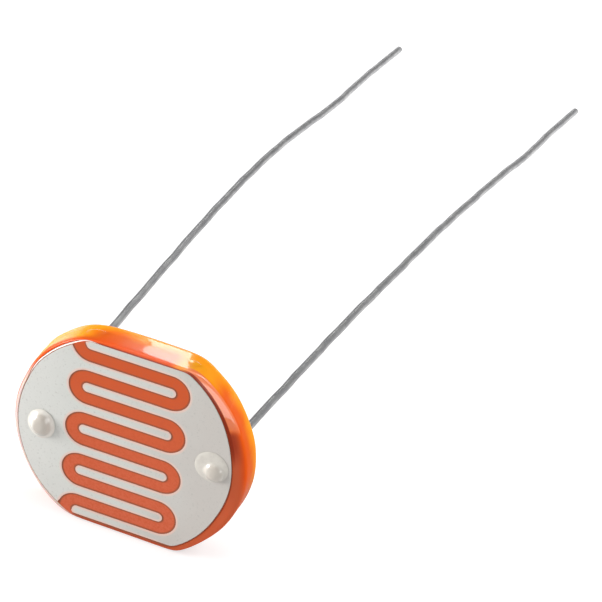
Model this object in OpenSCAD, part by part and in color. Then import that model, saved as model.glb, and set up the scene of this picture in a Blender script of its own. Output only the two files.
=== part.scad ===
// Photoresistor: a printed ceramic disc in a dipped resin coat, with two long wire leads.
// It stands on its lower flat, the printed face looks towards -Y, and the leads run back along +Y
// and sag until their tips touch the surface that the flat stands on.

/* [Ceramic disc] */
// Diameter of the ceramic disc
disc_d = 11.1; // [10.4:0.1:14]
// Distance across the two flats of the disc
disc_flats = 10.28; // [9:0.02:11]
// Thickness of the disc
disc_t = 1.0; // [0.6:0.05:1.2]
// Chamfer on the front edge of the disc
disc_chamfer = 0.05; // [0.02:0.01:0.15]
// How far the disc sits to the left of the middle of the coat
disc_shift = 0.13; // [0:0.01:0.14]

/* [Printed face] */
// How far the print sits above the middle of the disc
print_rise = 0.1; // [0:0.02:0.2]
// Thickness of the light-sensitive film
film_t = 0.03; // [0.02:0.01:0.1]
// Thickness of the electrode films
electrode_t = 0.02; // [0.02:0.01:0.1]
// Border of bare film between the electrodes and the film's own edge
film_border = 0.03; // [0.01:0.01:0.2]
// Distance between the middles of neighbouring rows of the track
row_pitch = 1.21; // [1.1:0.01:1.28]
// Width of the track between the two electrodes
track_w = 0.72; // [0.4:0.02:0.9]
// Room at each end of a row, up to the disc's edge, for the track's turn and the lead's contact
row_margin = 3.42; // [3.3:0.01:3.8]

/* [Resin coat] */
// Mean thickness of the coat round the disc's rim
coat_wall = 0.3; // [0.29:0.01:0.6]
// How far the round of the coat has sagged below the middle of the disc
coat_sag = 0.12; // [0:0.01:0.13]
// Thickness of the coat on the disc's flats
flat_wall = 0.14; // [0.12:0.01:0.5]
// Thickness of the thin lip of coat beside the printed face
lip_wall = 0.06; // [0.04:0.01:0.07]
// How far the coat's front edge stays below the disc's front
lip_drop = 0.04; // [0.02:0.01:0.15]
// Depth from the disc's front to the coat's back, beside its crown
coat_t = 1.95; // [1.7:0.05:2.5]
// Height of the crown in the middle of the coat's back
crown_h = 0.3; // [0.1:0.05:0.5]
// Ring of even back between the crown and the rounded edge on the flats
crown_margin = 0.2; // [0.16:0.02:0.5]
// Radius of the shoulder beside the printed face
shoulder_r = 0.3; // [0.2:0.05:0.6]
// Radius of the front edge on the flats
flat_edge_r = 0.08; // [0.04:0.01:0.1]
// Radius of the coat's back edge
back_edge_r = 0.45; // [0.2:0.05:0.6]
// Radius of the hollow fillet that climbs each lead
meniscus_r = 0.35; // [0.15:0.05:0.5]
// How far the thin feet of the crown and the fillets run down into the coat's back
foot_sink = 0.02; // [0.01:0.01:0.03]
// Clearance between the coat and the disc's rim
coat_fit = 0.03; // [0.01:0.01:0.05]

/* [Leads] */
// Diameter of the tinned wire
lead_d = 0.4; // [0.3:0.05:0.6]
// Distance between the two leads where they leave the coat
lead_pitch = 8.9; // [8:0.1:9.2]
// Height of the leads above the middle of the disc
lead_rise = 0.18; // [-0.3:0.02:0.3]
// How far a lead's front end stands out of the printed face
lead_proud = 0.06; // [0.03:0.01:0.08]
// Clearance round a lead in its holes
lead_fit = 0.02; // [0.01:0.01:0.05]
// Straight length of lead behind the coat's back, before its first bend
lead_stub = 0.6; // [0.5:0.1:3]
// Radius of the first bend, close to the coat
root_bend_r = 10; // [5:1:20]

/* [Left lead] */
// Angle of the left lead's first bend
left_root_angle = 0; // [0:0.1:6]
// Straight length between the left lead's two bends
left_middle = 13; // [5:0.5:20]
// Radius of the long bend in which the left lead sags
left_sag_r = 93; // [40:1:260]
// Straight length at the left lead's tip
left_tip = 21; // [10:0.1:30]
// Sideways turn of the plane in which the left lead sags
left_swing_angle = 2; // [0:1:45]

/* [Right lead] */
// Angle of the right lead's first bend
right_root_angle = 5.4; // [0:0.1:6]
// Straight length between the right lead's two bends
right_middle = 13; // [5:0.5:20]
// Radius of the long bend in which the right lead sags
right_sag_r = 240; // [40:1:260]
// Straight length at the right lead's tip
right_tip = 20.4; // [10:0.1:30]
// Sideways turn of the plane in which the right lead sags
right_swing_angle = 34; // [0:1:45]

/* [Paste contacts] */
// Radius of the left dome at its foot
left_dome_r = 0.76; // [0.7:0.02:0.9]
// Height of the left dome
left_dome_h = 0.42; // [0.36:0.02:0.6]
// How far the left dome hangs below its lead
left_dome_slip = 0.44; // [0:0.02:0.44]
// How far the left dome sits inwards of its lead
left_dome_in = 0.12; // [0:0.02:0.14]
// Radius of the right dome at its foot
right_dome_r = 0.55; // [0.45:0.01:0.7]
// Height of the right dome
right_dome_h = 0.34; // [0.3:0.01:0.5]
// Radius of the low pad that has spread under the right dome
right_pad_r = 0.9; // [0.75:0.02:1]
// Height of the low pad under the right dome
right_pad_h = 0.17; // [0.15:0.01:0.2]
// How far the pad has crept above the right lead
right_pad_creep = 0.22; // [0:0.02:0.3]
// How far the pad sits inwards of the right lead
right_pad_in = 0.16; // [0:0.02:0.2]

/* [Hidden] */
$fn = 96;

left = -1;
right = 1;
// A bent wire is drawn a little thinner in the bend, and the bend starts inside the straight before it
bend_draw = 0.99;
bend_lap = 0.1;

// The film starts where the disc's chamfer ends, and the electrodes leave its border bare
film_inset = disc_chamfer;
electrode_inset = film_inset + film_border;
face_top = film_t + electrode_t;

// The track turns back with half a pitch of radius, and the fingers fill what the track leaves free
row_half = disc_d / 2 - electrode_inset - row_margin;
finger_w = row_pitch - track_w;
turn_r = (row_pitch + track_w) / 2;
row_pairs = floor(disc_flats / (2 * row_pitch));

// Outer sizes of the coat follow the disc that it was dipped round
coat_r = disc_d / 2 + coat_wall;
coat_flat_h = disc_flats / 2 + flat_wall;
crown_foot_r = coat_flat_h - back_edge_r - crown_margin;

// The part stands on the middle of its lower flat, between the rounded edges
flat_middle = (lip_drop + flat_edge_r + coat_t - back_edge_r) / 2;

meniscus_foot_r = lead_d / 2 + meniscus_r;

// A lead sags from its own height until its tip lies on the surface
lead_drop = coat_flat_h + lead_rise - lead_d / 2;
lead_run = coat_t + lead_stub;

// Angle below the horizontal at which a lead's tip lies, measured in the plane in which it sags
function tip_angle(root_angle, middle, sag_r, tip, swing_angle) =
    let (
        sag_drop = lead_drop / cos(swing_angle),
        to_go = sag_drop - root_bend_r * (1 - cos(root_angle)) - middle * sin(root_angle)
    )
    atan2(sag_r, tip) + asin((to_go - sag_r * cos(root_angle)) / norm([sag_r, tip]));

// Frames of the part

// Stands the face frame (x right, y up, z out of the printed face) on the lower flat
module standing() {
    translate([0, -flat_middle, coat_flat_h]) rotate([90, 0, 0]) children();
}

// Turns z round, so that depths behind the disc's front are positive
module by_depth() {
    mirror([0, 0, 1]) children();
}

module on_disc() {
    translate([-disc_shift, 0, 0]) children();
}

module at_lead(side) {
    translate([side * lead_pitch / 2, lead_rise, 0]) children();
}

module lead_holes() {
    for (side = [left, right])
        at_lead(side) cylinder(d = lead_d + 2 * lead_fit, h = 4 * coat_t, center = true);
}

// Outline of the disc and its prints

module disc_outline(grow = 0) {
    intersection() {
        circle(d = disc_d + 2 * grow);
        square([2 * disc_d, disc_flats + 2 * grow], center = true);
    }
}

// Corners of the disc's edge at the distance half_w from its middle, front first
function disc_edge(half_w) = [
    [half_w - disc_chamfer, 0],
    [half_w, disc_chamfer],
    [half_w, disc_t]
];

function mirrored(points) = [for (i = [len(points) - 1 : -1 : 0]) [-points[i].x, points[i].y]];

// Runs a section with y as depth along x, with the section's own x pointing up
module along_flats() {
    rotate([90, 0, 90]) linear_extrude(2 * disc_d, center = true) children();
}

module ceramic_base() {
    color("ivory") standing() difference() {
        on_disc() by_depth() intersection() {
            rotate_extrude() polygon(concat([[0, 0]], disc_edge(disc_d / 2), [[0, disc_t]]));
            along_flats() polygon(concat(disc_edge(disc_flats / 2), mirrored(disc_edge(disc_flats / 2))));
        }
        lead_holes();
    }
}

module photo_layer() {
    color("#d0602f") standing() difference() {
        on_disc() linear_extrude(film_t) disc_outline(-film_inset);
        lead_holes();
    }
}

// Electrode combs

// One finger, from its round end at the far end of the row to beyond the disc's edge on its own side
module finger(side, y) {
    translate([-side * row_half, y]) {
        circle(d = finger_w);
        translate([side < 0 ? -2 * disc_d : 0, -finger_w / 2]) square([2 * disc_d, finger_w]);
    }
}

// Everything on one side of the row's straight part
module side_field(side) {
    translate([side < 0 ? -disc_d - row_half : row_half, -disc_d]) square([disc_d, 2 * disc_d]);
}

// The strip of the right comb beyond the outermost row, up to the flat
module end_strip(end) {
    y = end * row_pairs * row_pitch;
    finger(right, y);
    translate([-row_half - finger_w / 2, end < 0 ? y - disc_d : y]) square([2 * disc_d, disc_d]);
}

// Where the track runs out over the flat, on the left
module end_run(end) {
    y = end * row_pairs * row_pitch;
    translate([-row_half, y]) circle(r = turn_r);
    translate([-row_half - turn_r, end < 0 ? y - disc_d : y]) square([turn_r + disc_d, disc_d]);
}

module comb_left() {
    difference() {
        side_field(left);
        for (i = [1 - row_pairs : row_pairs - 1])
            if ((i + row_pairs) % 2 == 0)
                translate([-row_half, i * row_pitch]) circle(r = turn_r);
        for (end = [-1, 1]) end_run(end);
    }
    for (i = [1 - row_pairs : row_pairs - 1])
        if ((i + row_pairs) % 2 != 0) finger(left, i * row_pitch);
}

module comb_right() {
    difference() {
        side_field(right);
        for (i = [1 - row_pairs : row_pairs - 1])
            if ((i + row_pairs) % 2 != 0)
                translate([row_half, i * row_pitch]) circle(r = turn_r);
    }
    for (i = [1 - row_pairs : row_pairs - 1])
        if ((i + row_pairs) % 2 == 0) finger(right, i * row_pitch);
    for (end = [-1, 1]) end_strip(end);
}

module electrode() {
    color("#d0ccc6") standing() difference() {
        on_disc() translate([0, 0, film_t]) linear_extrude(electrode_t) intersection() {
            disc_outline(-electrode_inset);
            translate([0, print_rise]) children();
        }
        lead_holes();
    }
}

module electrode_left() {
    electrode() comb_left();
}

module electrode_right() {
    electrode() comb_right();
}

// Paste contacts

// A low dome of the given foot radius and height, that may go on below its foot
module dome(foot_r, height, below = 0) {
    ball_r = (pow(foot_r, 2) + pow(height, 2)) / (2 * height);
    rotate_extrude() intersection() {
        translate([0, height - ball_r]) circle(r = ball_r, $fn = 360);
        translate([0, -below]) square([2 * foot_r, height + below]);
    }
}

// Seats a contact on the electrodes, hollowed for the front end of its lead
module contact(side) {
    color("#e6e2da") standing() difference() {
        at_lead(side) translate([0, 0, face_top]) children();
        at_lead(side) cylinder(d = lead_d + 2 * lead_fit, h = face_top + lead_proud);
    }
}

module contact_left() {
    contact(left) translate([left_dome_in, -left_dome_slip, 0]) dome(left_dome_r, left_dome_h);
}

module contact_right() {
    contact(right) {
        translate([-right_pad_in, right_pad_creep, 0]) dome(right_pad_r, right_pad_h);
        dome(right_dome_r, right_dome_h);
    }
}

// Leads

module wire(length) {
    cylinder(d = lead_d, h = length);
}

// Draws one bend towards +x and goes on from its end
module bend(radius, angle) {
    lap = bend_lap / radius * 180 / PI;
    if (angle > 0)
        translate([radius, 0, 0]) rotate([90, 0, 180]) rotate([0, 0, -lap])
            rotate_extrude(angle = angle + 2 * lap) translate([radius, 0]) circle(d = lead_d * bend_draw);
    translate([radius, 0, 0]) rotate([0, angle, 0]) translate([-radius, 0, 0]) children();
}

// One lead from its front end through the disc and coat to its tip
module lead(side, root_angle, middle, sag_r, tip, swing_angle) {
    front = face_top + lead_proud;
    sag_angle = tip_angle(root_angle, middle, sag_r, tip, swing_angle) - root_angle;
    color("silver") standing() at_lead(side) by_depth() rotate([0, 0, swing_angle - 90]) {
        translate([0, 0, -front]) wire(front + lead_run);
        translate([0, 0, lead_run]) bend(root_bend_r, root_angle) {
            wire(middle);
            translate([0, 0, middle]) bend(sag_r, sag_angle) wire(tip);
        }
    }
}

module lead_left() {
    lead(left, left_root_angle, left_middle, left_sag_r, left_tip, left_swing_angle);
}

module lead_right() {
    lead(right, right_root_angle, right_middle, right_sag_r, right_tip, right_swing_angle);
}

// Resin coat

// Half section of the coat, from its middle to half_w, with rounded front and back edges
module coat_section(half_w, front_r) {
    back_y = coat_t - back_edge_r;
    translate([0, lip_drop + front_r]) square([half_w, back_y - lip_drop - front_r]);
    translate([0, lip_drop]) square([half_w - front_r, back_y - lip_drop]);
    translate([0, lip_drop + front_r]) square([half_w - back_edge_r, coat_t - lip_drop - front_r]);
    translate([half_w - front_r, lip_drop + front_r]) circle(r = front_r);
    translate([half_w - back_edge_r, back_y]) circle(r = back_edge_r);
}

// The thin lip that stands up beside the printed face, as deep as the shoulder
module coat_lip() {
    translate([-disc_shift, 0, lip_drop]) cylinder(d = disc_d + 2 * (coat_fit + lip_wall), h = shoulder_r);
}

// Resin drawn up round a lead in a hollow curve
module meniscus() {
    rotate_extrude() difference() {
        square([meniscus_foot_r, meniscus_r]);
        translate([meniscus_foot_r, meniscus_r]) circle(r = meniscus_r);
    }
}

module resin_coat() {
    color("#f07f2a") standing() difference() {
        by_depth() union() {
            intersection() {
                union() {
                    translate([0, -coat_sag, 0]) rotate_extrude() coat_section(coat_r, shoulder_r);
                    coat_lip();
                }
                along_flats() {
                    coat_section(coat_flat_h, flat_edge_r);
                    mirror([1, 0]) coat_section(coat_flat_h, flat_edge_r);
                }
            }
            translate([0, 0, coat_t]) dome(crown_foot_r, crown_h, foot_sink);
            for (side = [left, right]) at_lead(side) translate([0, 0, coat_t - foot_sink]) meniscus();
        }
        on_disc() by_depth() translate([0, 0, -disc_t]) linear_extrude(2 * disc_t) disc_outline(coat_fit);
        lead_holes();
    }
}

ceramic_base();
photo_layer();
electrode_left();
electrode_right();
contact_left();
contact_right();
lead_left();
lead_right();
resin_coat();
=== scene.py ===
"""Photoresistor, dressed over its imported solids.

The printed disc keeps the shape of its solids and gets rounded corners. The paste contacts, the
wire leads and the dipped resin coat are modelled anew where their solids are. Sizes are in
millimetres in the classes of the pieces, and in metres in the meshes and the studio.
"""

import logging
import math
from collections.abc import Callable
from dataclasses import dataclass, field, replace
from enum import Enum
from functools import partial

import bmesh
import bpy
from mathutils import Matrix, Vector, noise


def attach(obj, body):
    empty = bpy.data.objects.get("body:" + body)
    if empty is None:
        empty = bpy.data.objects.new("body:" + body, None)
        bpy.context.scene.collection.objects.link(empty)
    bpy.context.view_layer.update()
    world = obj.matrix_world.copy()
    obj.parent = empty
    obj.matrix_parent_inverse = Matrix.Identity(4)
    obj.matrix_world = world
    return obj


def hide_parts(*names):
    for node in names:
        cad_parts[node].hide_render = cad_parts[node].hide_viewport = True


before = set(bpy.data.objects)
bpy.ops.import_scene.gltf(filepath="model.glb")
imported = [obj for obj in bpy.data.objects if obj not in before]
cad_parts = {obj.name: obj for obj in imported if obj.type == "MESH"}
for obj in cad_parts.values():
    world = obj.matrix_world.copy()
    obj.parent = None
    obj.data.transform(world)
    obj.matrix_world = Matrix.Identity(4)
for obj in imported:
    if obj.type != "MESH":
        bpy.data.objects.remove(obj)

MM = 0.001
BODY = "root"

log = logging.getLogger("photoresistor")

Colour = tuple[float, float, float, float]
Socket = bpy.types.NodeSocket
Ring = Callable[[float], Vector]
Band = tuple[float, float]

# Where most of a noise lies
NOISE_BAND: Band = (0.3, 0.7)


def srgb(red: int, green: int, blue: int) -> Colour:
    """Turn a colour as a screen shows it into a linear one.

    Args:
        red: Red from 0 to 255.
        green: Green from 0 to 255.
        blue: Blue from 0 to 255.

    Returns:
        The linear colour with full alpha.
    """
    parts = [c / 255 for c in (red, green, blue)]
    linear = [c / 12.92 if c <= 0.04045 else ((c + 0.055) / 1.055) ** 2.4 for c in parts]
    return (linear[0], linear[1], linear[2], 1.0)


class Side(Enum):
    """The two sides of the printed face, as it is seen from the front."""

    LEFT = -1
    RIGHT = 1


class Bench:
    """The operator steps that every piece goes through."""

    @staticmethod
    def clear() -> None:
        """Leave edit mode and deselect everything."""
        if bpy.context.object is not None and bpy.context.object.mode != "OBJECT":
            bpy.ops.object.mode_set(mode="OBJECT")
        bpy.ops.object.select_all(action="DESELECT")

    @staticmethod
    def take(piece: bpy.types.Object) -> None:
        """Make one piece the only selected and the active one.

        Args:
            piece: The piece.
        """
        Bench.clear()
        piece.select_set(True)
        bpy.context.view_layer.objects.active = piece

    @staticmethod
    def ring(name: str, count: int, radius: float, centre: Vector, filled: bool = False) -> bpy.types.Object:
        """Start a piece from a ring that faces the front, and open it in edit mode.

        Args:
            name: Name of the piece.
            count: Number of points in the ring.
            radius: Radius of the ring in metres.
            centre: Middle of the ring in metres.
            filled: Whether the ring has a face.

        Returns:
            The new piece, at the origin and in edit mode with all of it selected.
        """
        Bench.clear()
        bpy.ops.mesh.primitive_circle_add(
            vertices=count,
            radius=radius,
            fill_type="NGON" if filled else "NOTHING",
            location=centre,
            rotation=(math.pi / 2, 0, 0),
        )
        piece = bpy.context.active_object
        piece.name = piece.data.name = name
        bpy.ops.object.transform_apply(location=True, rotation=True, scale=True)
        bpy.ops.object.mode_set(mode="EDIT")
        bpy.ops.mesh.select_all(action="SELECT")
        return piece

    @staticmethod
    def extrude(step: Vector) -> None:
        """Extrude what is selected by a step in metres."""
        bpy.ops.mesh.extrude_region_move(TRANSFORM_OT_translate={"value": step})

    @staticmethod
    def select_open() -> None:
        """Select only the edges of open ends."""
        bpy.ops.mesh.select_all(action="DESELECT")
        bpy.ops.mesh.select_mode(type="EDGE")
        bpy.ops.mesh.select_non_manifold(extend=False, use_wire=False, use_multi_face=False)

    @staticmethod
    def close(piece: bpy.types.Object) -> None:
        """Close all open ends, turn the faces outwards and leave edit mode.

        Args:
            piece: The piece, in edit mode.
        """
        Bench.select_open()
        bpy.ops.mesh.edge_face_add()
        bpy.ops.mesh.select_mode(type="VERT")
        bpy.ops.mesh.select_all(action="SELECT")
        bpy.ops.mesh.normals_make_consistent(inside=False)
        bpy.ops.object.mode_set(mode="OBJECT")
        Bench.take(piece)

    @staticmethod
    def grid_cap() -> None:
        """Fill the selected ring with a grid of four-sided faces."""
        bpy.ops.mesh.select_mode(type="EDGE")
        bpy.ops.mesh.fill_grid()
        bpy.ops.mesh.select_mode(type="VERT")

    @staticmethod
    def subdivide(piece: bpy.types.Object, levels: int) -> None:
        """Smooth a piece with a subdivision surface and apply it.

        Args:
            piece: The piece, in object mode.
            levels: How often each face is divided.
        """
        Bench.take(piece)
        modifier = piece.modifiers.new("smooth", "SUBSURF")
        modifier.levels = modifier.render_levels = levels
        bpy.ops.object.modifier_apply(modifier=modifier.name)

    @staticmethod
    def sculpt(piece: bpy.types.Object, push: Callable[[Vector, Vector], Vector]) -> None:
        """Push each point of a finished mesh, as a soft brush does.

        Args:
            piece: The piece, in object mode.
            push: Gives the push from a point's place and normal.
        """
        moves = [push(point.co, point.normal) for point in piece.data.vertices]
        for point, move in zip(piece.data.vertices, moves):
            point.co += move
        piece.data.update()

    @staticmethod
    def shade(piece: bpy.types.Object, degrees: float) -> None:
        """Shade a piece smooth, apart from edges sharper than an angle."""
        Bench.take(piece)
        bpy.ops.object.shade_smooth_by_angle(angle=math.radians(degrees))

    @staticmethod
    def dress(piece: bpy.types.Object, material: bpy.types.Material, slot: str, *nodes: str) -> None:
        """Give a piece its finish and its place in the frame, and report it.

        Args:
            piece: The piece.
            material: Its finish.
            slot: The material slot's name, which is not used.
            nodes: The solids that it stands for.
        """
        piece.data.materials.clear()
        piece.data.materials.append(material)
        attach(piece, BODY)
        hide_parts(*nodes)
        log.info("%s: %d faces, for %s", piece.name, len(piece.data.polygons), ", ".join(nodes))


@dataclass(frozen=True)
class Dial:
    """A value that changes smoothly with the direction round the disc."""

    stops: tuple[tuple[float, float], ...]

    def at(self, angle: float) -> float:
        """Give the value in one direction.

        Args:
            angle: Direction in radians, from the right towards the top.

        Returns:
            The value, eased between the nearest two stops.
        """
        start = self.stops[0][0]
        degrees = (math.degrees(angle) - start) % 360 + start
        around = (*self.stops, (start + 360, self.stops[0][1]))
        value = self.stops[0][1]
        for (low, first), (high, second) in zip(around, around[1:]):
            if low <= degrees <= high:
                share = (degrees - low) / (high - low)
                value = first + (second - first) * share * share * (3 - 2 * share)
        return value


@dataclass(frozen=True)
class Outline:
    """A round with an upper and a lower flat, whose corners are softened."""

    # Slope below which a direction meets the round and never a flat
    LEVEL = 0.05

    x: float
    round_z: float
    radius: float
    low: float
    high: float
    left_corner: float = 60.0
    right_corner: float = 60.0
    crown: float = 0.0
    swell: Dial = Dial(((0.0, 0.0),))

    @property
    def middle(self) -> float:
        """Height halfway between the flats."""
        return (self.low + self.high) / 2

    def reach(self, angle: float) -> float:
        """Distance from the middle to the outline.

        Args:
            angle: Direction in radians, from the right towards the top.

        Returns:
            The distance in millimetres.
        """
        lift = self.round_z - self.middle
        along = math.sin(angle) * lift
        to_round = along + math.sqrt(along**2 + self.radius**2 - lift**2) + self.swell.at(angle)
        slope = abs(math.sin(angle))
        if slope < self.LEVEL:
            return to_round
        flat = self.high - self.middle
        if angle > 0:
            flat -= self.crown * min(abs(flat / math.tan(angle)), self.radius) ** 2
        to_flat = flat / slope
        share = (1 + math.cos(angle)) / 2
        corner = self.left_corner + (self.right_corner - self.left_corner) * share
        return (to_round**-corner + to_flat**-corner) ** (-1 / corner)

    def ring(self, y: float) -> Ring:
        """Give the outline as a ring.

        Args:
            y: The ring's place from front to back.

        Returns:
            The ring.
        """

        def point(angle: float) -> Vector:
            """Give the ring's point in one direction."""
            reach = self.reach(angle)
            return Vector((self.x + reach * math.cos(angle), y, self.middle + reach * math.sin(angle)))

        return point

    def inset(self, amount: float) -> "Outline":
        """Give the outline drawn in by an amount on all sides."""
        return replace(self, radius=self.radius - amount, low=self.low + amount, high=self.high - amount)


DISC = Outline(
    x=-0.13,
    round_z=5.28,
    radius=5.55,
    low=0.14,
    high=10.42,
    right_corner=150.0,
    swell=Dial(
        (
            (-165.0, -0.04), (-130.0, 0.06), (-100.0, 0.15), (-66.0, 0.3), (-18.0, -0.04), (8.0, -0.05),
            (64.0, 0.32), (100.0, 0.15), (128.0, 0.03), (145.0, 0.01), (162.0, -0.07),
        )
    ),
)


class RingLoft:
    """A closed shell that is drawn ring by ring, each extruded from the last."""

    MARK = "angle"

    def __init__(self, name: str, count: int, ring: Ring) -> None:
        """Draw the first ring.

        Args:
            name: Name of the piece.
            count: Number of points in each ring.
            ring: The first ring.
        """
        self.piece = Bench.ring(name, count, MM, Vector())
        mesh = bmesh.from_edit_mesh(self.piece.data)
        layer = mesh.verts.layers.float.new(self.MARK)
        for point in mesh.verts:
            point[layer] = math.atan2(point.co.z, point.co.x)
        self._fit(ring)

    def _fit(self, ring: Ring) -> None:
        """Set the selected points on a ring, each in its own direction.

        Args:
            ring: The ring.
        """
        mesh = bmesh.from_edit_mesh(self.piece.data)
        layer = mesh.verts.layers.float[self.MARK]
        for point in mesh.verts:
            if point.select:
                point.co = ring(point[layer]) * MM
        bmesh.update_edit_mesh(self.piece.data)

    def add(self, ring: Ring) -> None:
        """Extrude the last ring to a new one."""
        Bench.extrude(Vector((0, MM, 0)))
        self._fit(ring)

    def done(self, grid: bool) -> bpy.types.Object:
        """Close both ends and give the piece.

        Args:
            grid: Whether the ends are filled with grids, as a smoothed piece needs.

        Returns:
            The piece, in object mode.
        """
        if grid:
            Bench.grid_cap()
            Bench.select_open()
            Bench.grid_cap()
        Bench.close(self.piece)
        self.piece.data.attributes.remove(self.piece.data.attributes[self.MARK])
        return self.piece


class NodeSheet:
    """One material's nodes, with short calls for what the finishes use."""

    def __init__(self, name: str) -> None:
        """Start a material with a principled shader.

        Args:
            name: Name of the material.
        """
        self.material = bpy.data.materials.new(name)
        self.material.use_nodes = True
        self.tree = self.material.node_tree
        self.tree.nodes.clear()
        self.shader = self.add("ShaderNodeBsdfPrincipled")
        self.output = self.add("ShaderNodeOutputMaterial")
        self.join(self.shader.outputs[0], self.output.inputs["Surface"])

    def add(self, kind: str, **settings: object) -> bpy.types.Node:
        """Add a node and set its properties.

        Args:
            kind: The node's type.
            settings: Its properties by name.

        Returns:
            The node.
        """
        node = self.tree.nodes.new(kind)
        for name, value in settings.items():
            setattr(node, name, value)
        return node

    def join(self, source: Socket, target: Socket) -> None:
        """Link two sockets."""
        self.tree.links.new(source, target)

    def put(self, target: Socket, value: "Socket | float | Colour") -> None:
        """Link a socket to another, or set its value.

        Args:
            target: The socket.
            value: The other socket, or the value.
        """
        if isinstance(value, bpy.types.NodeSocket):
            self.join(value, target)
        else:
            target.default_value = value

    def set(self, **values: "Socket | float | Colour") -> None:
        """Set the shader's sockets, with underscores for the spaces in their names."""
        for name, value in values.items():
            self.put(self.shader.inputs[name.replace("_", " ")], value)

    def place(self) -> Socket:
        """Read the point's place.

        Returns:
            The place in millimetres.
        """
        coordinate = self.add("ShaderNodeTexCoord")
        mapping = self.add("ShaderNodeMapping")
        mapping.inputs["Scale"].default_value = (1 / MM, 1 / MM, 1 / MM)
        self.join(coordinate.outputs["Object"], mapping.inputs["Vector"])
        return mapping.outputs["Vector"]

    def split(self, vector: Socket) -> tuple[Socket, Socket, Socket]:
        """Split a vector.

        Args:
            vector: The vector.

        Returns:
            Its three parts.
        """
        node = self.add("ShaderNodeSeparateXYZ")
        self.join(vector, node.inputs[0])
        return node.outputs[0], node.outputs[1], node.outputs[2]

    def math(self, operation: str, first: "Socket | float", second: "Socket | float" = 0.0) -> Socket:
        """Give the result of one sum.

        Args:
            operation: The sum's name in Blender.
            first: Its first value.
            second: Its second value, if it has one.

        Returns:
            The result.
        """
        node = self.add("ShaderNodeMath", operation=operation)
        self.put(node.inputs[0], first)
        self.put(node.inputs[1], second)
        return node.outputs[0]

    def product(self, first: "Socket | float", *others: "Socket | float") -> Socket:
        """Multiply values.

        Args:
            first: The first value.
            others: The other values.

        Returns:
            The product.
        """
        for other in others:
            first = self.math("MULTIPLY", first, other)
        return first

    def noise(self, vector: Socket, scale: float, detail: float = 2.0) -> Socket:
        """Give a soft noise.

        Args:
            vector: The point's place in millimetres.
            scale: Patches per millimetre.
            detail: How many finer noises are laid over it.

        Returns:
            The noise, from 0 to 1.
        """
        node = self.add("ShaderNodeTexNoise")
        self.join(vector, node.inputs["Vector"])
        node.inputs["Scale"].default_value = scale
        node.inputs["Detail"].default_value = detail
        return node.outputs[0]

    def span(self, value: Socket, low: float, high: float, start: float = 0.0, end: float = 1.0) -> Socket:
        """Map a value from low to high onto start to end, smoothly and no further.

        Args:
            value: The value.
            low: Where start is reached.
            high: Where end is reached.
            start: Result at low.
            end: Result at high.

        Returns:
            The mapped value.
        """
        node = self.add("ShaderNodeMapRange", interpolation_type="SMOOTHSTEP")
        self.join(value, node.inputs["Value"])
        node.inputs["From Min"].default_value = low
        node.inputs["From Max"].default_value = high
        node.inputs["To Min"].default_value = start
        node.inputs["To Max"].default_value = end
        return node.outputs[0]

    def blend(self, share: Socket, first: "Socket | Colour", second: "Socket | Colour") -> Socket:
        """Mix two colours.

        Args:
            share: Share of the second colour.
            first: The first colour.
            second: The second colour.

        Returns:
            The mixed colour.
        """
        node = self.add("ShaderNodeMix", data_type="RGBA")
        self.join(share, node.inputs[0])
        self.put(node.inputs[6], first)
        self.put(node.inputs[7], second)
        return node.outputs[2]

    def bump(self, height: Socket, depth: float, strength: float) -> None:
        """Give the shader a bump.

        Args:
            height: The height, from 0 to 1.
            depth: The bump's depth in millimetres.
            strength: Share of the bump that shows.
        """
        node = self.add("ShaderNodeBump")
        node.inputs["Strength"].default_value = strength
        node.inputs["Distance"].default_value = depth * MM
        self.join(height, node.inputs["Height"])
        self.join(node.outputs[0], self.shader.inputs["Normal"])


@dataclass(frozen=True)
class TrackPattern:
    """The winding track on the printed face, from which both prints take their edge."""

    centre_x: float = -0.13
    centre_z: float = 5.38
    pitch: float = 1.21
    track_w: float = 0.72
    row_half: float = 2.05

    def edge(self, sheet: NodeSheet, place: Socket) -> Socket:
        """Give the distance from the track's edge, negative on the track.

        Args:
            sheet: The material's nodes.
            place: The point's place in millimetres.

        Returns:
            The distance in millimetres.
        """
        x, _, z = sheet.split(place)
        across = sheet.math("SUBTRACT", x, self.centre_x)
        rows = sheet.math("DIVIDE", sheet.math("SUBTRACT", z, self.centre_z), self.pitch)
        past_row = sheet.math("SUBTRACT", sheet.math("ABSOLUTE", across), self.row_half)
        beyond = sheet.math("MAXIMUM", past_row, 0.0)
        right = sheet.math("GREATER_THAN", across, 0.0)
        turn = sheet.math("PINGPONG", sheet.math("ADD", rows, right), 1.0)
        up = sheet.product(turn, self.pitch)
        squares = sheet.math("ADD", sheet.product(up, up), sheet.product(beyond, beyond))
        from_turn = sheet.math("SUBTRACT", sheet.math("SQRT", squares), self.pitch / 2)
        return sheet.math("SUBTRACT", sheet.math("ABSOLUTE", from_turn), self.track_w / 2)


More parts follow.
